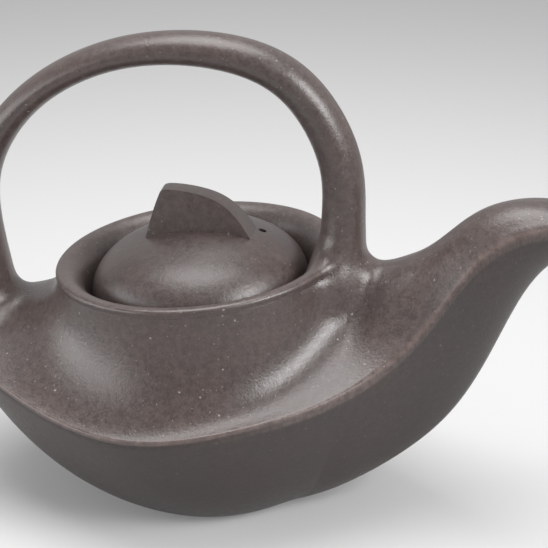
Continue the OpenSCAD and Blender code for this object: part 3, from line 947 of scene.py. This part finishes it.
upper_normals = face_out(all_upper, 1)
lower_normals = face_out(all_lower, -1)
ridge_normals = unit(upper_normals[:, 0] + lower_normals[:, 0])
seam_points = np.concatenate([all_upper[:, 0], all_upper[joint], all_lower[joint]])
seam_normals = np.concatenate([ridge_normals, upper_normals[joint], lower_normals[joint]])
seam_normals[np.abs(seam_points[:, 1]) < 1e-6, 1] = 0
seam_points = np.concatenate([seam_points, seam_points * [1, -1, 1]])
seam_normals = np.concatenate([seam_normals, seam_normals * [1, -1, 1]])
seam_finder = KDTree(len(seam_points))
for i, point in enumerate(seam_points * MM):
    seam_finder.insert(point, i)
seam_finder.balance()
seam_gap = 3e-6


def settle(piece, worked):
    """Sets the shading normals: worked ones at the handle's feet, common ones along the luted seams."""
    for vertex in piece.data.vertices:
        if not worked[vertex.index].any():
            _, found, gap = seam_finder.find(vertex.co)
            if gap < seam_gap:
                worked[vertex.index] = seam_normals[found]
    piece.data.normals_split_custom_set_from_vertices(worked.tolist())


handle_normals, handle_buried = work_in(handle, bar_skin, pot_skin)
kept = handle_mesh.attributes.new("worked", "FLOAT_VECTOR", "POINT")
kept.data.foreach_set("vector", handle_normals.ravel())
cut_depth = 4.5
trim = bmesh.new()
trim.from_mesh(handle_mesh)
deep = [f for f in trim.faces if min(handle_buried[v.index] for v in f.verts) > cut_depth * MM]
bmesh.ops.delete(trim, geom=deep, context="FACES")
bmesh.ops.holes_fill(trim, edges=[e for e in trim.edges if e.is_boundary], sides=0)
bmesh.ops.recalc_face_normals(trim, faces=trim.faces)
trim.to_mesh(handle_mesh)
trim.free()
handle_normals = np.zeros(3 * len(handle_mesh.vertices), np.float32)
handle_mesh.attributes["worked"].data.foreach_get("vector", handle_normals)
handle_mesh.attributes.remove(handle_mesh.attributes["worked"])
handle_mesh.set_sharp_from_angle(angle=math.radians(45))
settle(handle, handle_normals.reshape(-1, 3))


tuck_depth = 0.35


def tuck(piece, worked):
    """Puts what working in has folded over below the skin that lies under it."""
    piece.data.update()
    folds = [f for f in piece.data.polygons if all(worked[i].any() for i in f.vertices)]
    folded = {i for f in folds for i in f.vertices if f.normal.dot(Vector(worked[i])) < 0}
    for i in folded:
        piece.data.vertices[i].co -= tuck_depth * MM * Vector(worked[i])


for piece in (shoulder, lower_bowl, spout, rim_collar):
    pot_normals = work_in(piece, pot_skin, bar_skin)[0]
    tuck(piece, pot_normals)
    settle(piece, pot_normals)
dress(handle, "pot", body_clay, "body_clay", "handle")


# Lid dome: thrown round and hollow, with an upright edge band and a small vent beside the grip.
# The locating ring under it keeps its CAD shape.
dome_h = 19.3
edge_h = 3.0
edge_r = 0.5
lid_wall = 3.0
flange_t = 3.0
bore_gap = 0.5
seat_gap = 0.1
ledge = 2.6
dome_power = 0.92
lid_edge = seat_depth - seat_gap
flange_in = lid_r - ledge - bore_gap - flange_t
dome_low = edge_h - lid_edge


def dome_curve(r, h, low, count):
    a = np.linspace(0, math.pi / 2, count)
    out = r * np.maximum(np.cos(a), 0) ** dome_power
    return np.stack([out, low + h * np.sin(a) ** dome_power], axis=-1)


edge_turn = np.radians(np.linspace(-90, 0, 7))
dome_profile = np.vstack([
    dome_curve(lid_r, dome_h, dome_low, 65),
    dome_curve(flange_in, dome_h - lid_wall + edge_h - 1, 1 - lid_edge, 33)[::-1],
    [[flange_in, -lid_edge]],
    np.stack([lid_r - edge_r + edge_r * np.cos(edge_turn),
              -lid_edge + edge_r + edge_r * np.sin(edge_turn)], axis=-1)])
lid_dome = turned("lid_dome_clay", spun(dome_profile), 0 * dome_profile[:, 0])


def prism(name, first, last):
    """A piece with straight sides between two rings of points."""
    count = len(first)
    mesh = bpy.data.meshes.new(name)
    mesh.from_pydata((np.vstack([first, last]) * MM).tolist(), [], [
        list(range(count)), list(range(2 * count - 1, count - 1, -1))] + [
        [i, i + count, (i + 1) % count + count, (i + 1) % count] for i in range(count)])
    work = bmesh.new()
    work.from_mesh(mesh)
    bmesh.ops.recalc_face_normals(work, faces=work.faces)
    work.to_mesh(mesh)
    work.free()
    return put(name, mesh)


fin_l = 33.0
fin_t = 9.6
fin_x = 2.0
vent_d = 2.4
vent_r = vent_d / 2
vent_x = fin_x + fin_l / 2 + vent_r + 0.4
vent_y = fin_t / 2 - 0.8
vent_sides = 32
vent_turn = np.arange(vent_sides) * 2 * math.pi / vent_sides
vent_low, vent_high = [
    mouth(xyz(vent_x + vent_r * np.cos(vent_turn), vent_y + vent_r * np.sin(vent_turn), level))
    for level in (dome_low + 0.4 * dome_h, dome_low + dome_h)]
vent = prism("vent", vent_low, vent_high)
pierced = lid_dome.modifiers.new("vent", "BOOLEAN")
pierced.object = vent
pierced.solver = "EXACT"
finished(lid_dome).set_sharp_from_angle(angle=sharp_angle)
bpy.data.objects.remove(vent)
lid_clay = clay("lid_clay", 0.95, 0.37, 0.15)
dress(lid_dome, "lid", lid_clay, "lid_clay", "lid_dome")
dress_node("lid_flange", inner_clay)


# Lid grip: a fin cut from a slab, upright behind and falling in one curve to the spout side.
# It is luted to the top of the dome, and its edges are only just softened.
fin_h = 13.2
fin_taper = 1.7
foot_sink = 1.2
fin_top = dome_low + dome_h + fin_h
fin_low = dome_low + dome_h - 5
fin_back = fin_x - fin_l / 2
fin_half = fin_l / 2
fin_rise = led([[fin_back - 1.2, fin_low], [fin_back + 0.8, mix(fin_low, fin_top, 0.31)],
                [fin_back + 3.6, fin_top - 5], [fin_back + 5.8, fin_top - 0.7]])
fin_fall = led([[fin_back + 5.8, fin_top - 0.7], [fin_back + 7, fin_top + 0.3],
                [fin_x - 0.09 * fin_half, fin_top - 0.8], [fin_x + 0.42 * fin_half, fin_top - 0.27 * fin_h],
                [fin_x + 0.76 * fin_half, fin_top - 0.68 * fin_h],
                [fin_x + fin_half, mix(fin_low, fin_top, 0.09)], [fin_x + fin_half + 1, fin_low]])


def dome_level(x, y):
    """Height of the dome's outer skin over a place."""
    a = np.arccos((np.hypot(x, y) / lid_r) ** (1 / dome_power))
    return dome_low + dome_h * np.sin(a) ** dome_power


fin_foot = np.linspace(fin_x + fin_half + 1, fin_back - 1.2, 25)[1:-1]
fin_outline = np.vstack([
    spline(fin_rise, np.linspace(0, 1, 17)), spline(fin_fall, np.linspace(0, 1, 41))[1:],
    np.stack([fin_foot, 0 * fin_foot + fin_low - 9], axis=-1)])
fin_outline[:, 1] = np.maximum(fin_outline[:, 1], dome_level(fin_outline[:, 0], fin_t / 2) - foot_sink)
fin_side = fin_t / 2 - fin_taper * (fin_outline[:, 1] - (fin_top - fin_h - 2)) / fin_h
near_edge = mouth(xyz(fin_outline[:, 0], -fin_side, fin_outline[:, 1]))
far_edge = mouth(xyz(fin_outline[:, 0], fin_side, fin_outline[:, 1]))
lid_fin = prism("lid_fin_clay", near_edge, far_edge)
soft_edge = lid_fin.modifiers.new("soft_edge", "BEVEL")
soft_edge.width = 0.6 * MM
soft_edge.segments = 4
soft_edge.limit_method = "ANGLE"
soft_edge.angle_limit = math.radians(40)
finished(lid_fin).set_sharp_from_angle(angle=sharp_angle)
dress(lid_fin, "lid", lid_clay, "lid_clay", "lid_fin")


# Stage: a wide pale table in a dim room, under a large overhead lamp with a soft lamp at either side.
# The camera looks down at the near side, turned a little toward the spout.
def table_paper(far_level):
    """White paper that runs out into the plain level of the room far from the pot; near the pot it glows a
    little too, painted light that lifts the pot's shadow on it.
    """
    material = bpy.data.materials.new("table_paper")
    material.use_nodes = True
    tree = material.node_tree
    surface = tree.nodes["Principled BSDF"]
    surface.inputs["Base Color"].default_value = (0.60, 0.60, 0.60, 1)
    surface.inputs["Roughness"].default_value = 0.9
    start = Shade(tree, surface.outputs[0])
    place = start.node("ShaderNodeTexCoord", out="Object")
    reach = place.node("ShaderNodeVectorMath", {"operation": "LENGTH"}, {0: place}, out="Value")
    far = start.node("ShaderNodeEmission", {}, {"Color": (far_level, far_level, far_level, 1)})
    # Painted light: part of the paper's colour is glow even beside the pot, so its shadow stays light; far
    # off it all becomes the room level.
    glow_and_run_out = 0.3 + reach.between(0.10, 0.70) * 0.7
    blend = start.node("ShaderNodeMixShader", {}, {0: glow_and_run_out, 1: start, 2: far})
    tree.links.new(blend.socket, tree.nodes["Material Output"].inputs["Surface"])
    return material


room_level = 0.42
table_r = 8.0
table_sides = 64
table_turn = np.arange(table_sides) * 2 * math.pi / table_sides
table_mesh = bpy.data.meshes.new("table")
table_mesh.from_pydata([(table_r * math.cos(a), table_r * math.sin(a), 0) for a in table_turn], [],
                       [list(range(table_sides))])
table_mesh.materials.append(table_paper(room_level))
table = put("table", table_mesh)
pot_middle = Vector((0, 0, 0.06))


def softbox(name, direction, distance, width, height, power):
    """A soft lamp that looks at the pot's middle from the given direction."""
    lamp = bpy.data.lights.new(name, "AREA")
    lamp.shape = "RECTANGLE"
    lamp.size = width
    lamp.size_y = height
    lamp.energy = power
    stand = put(name, lamp)
    toward = Vector(direction).normalized()
    stand.location = pot_middle + distance * toward
    stand.visible_camera = False
    stand.rotation_euler = toward.to_track_quat("Z", "Y").to_euler()


softbox("overhead_lamp", (-0.10, 0.08, 1.0), 1.0, 0.75, 0.75, 11.0)
softbox("right_lamp", (0.78, -0.34, 0.54), 1.1, 0.55, 0.55, 13.0)
softbox("left_lamp", (-0.90, -0.40, 0.15), 1.1, 1.2, 0.5, 8.5)
room = bpy.data.worlds.new("room")
room.use_nodes = True
walls = room.node_tree.nodes["Background"]
start = Shade(room.node_tree, walls.outputs[0])
away = start.node("ShaderNodeTexCoord", out="Generated")
back_wall = away.node("ShaderNodeSeparateXYZ", {}, {0: away}, out="Y").between(-0.7, 0.5)
glow = 0.3 + back_wall * 0.35
seen = start.node("ShaderNodeLightPath", out="Is Camera Ray")
shown = glow + seen * (room_level - glow)
room.node_tree.links.new(shown.socket, walls.inputs["Color"])
bpy.context.scene.world = room

view_turn = math.radians(12.5)
view_lift = math.radians(24.5)
view_distance = 0.7
view_lens = 149.0
view_back = Vector((math.sin(view_turn) * math.cos(view_lift), -math.cos(view_turn) * math.cos(view_lift),
                    math.sin(view_lift)))
view_right = Vector((math.cos(view_turn), math.sin(view_turn), 0))
view_up = view_back.cross(view_right)
look_right = 0.0186
look_up = 0.0078
aim = pot_middle + look_right * view_right + look_up * view_up
camera_data = bpy.data.cameras.new("camera")
camera_data.lens = view_lens
camera_data.sensor_width = 36.0
camera = put("camera", camera_data)
camera.location = pot_middle + view_distance * view_back
camera.rotation_euler = (camera.location - aim).to_track_quat("Z", "Y").to_euler()
bpy.context.scene.camera = camera
bpy.context.scene.view_settings.view_transform = "Standard"
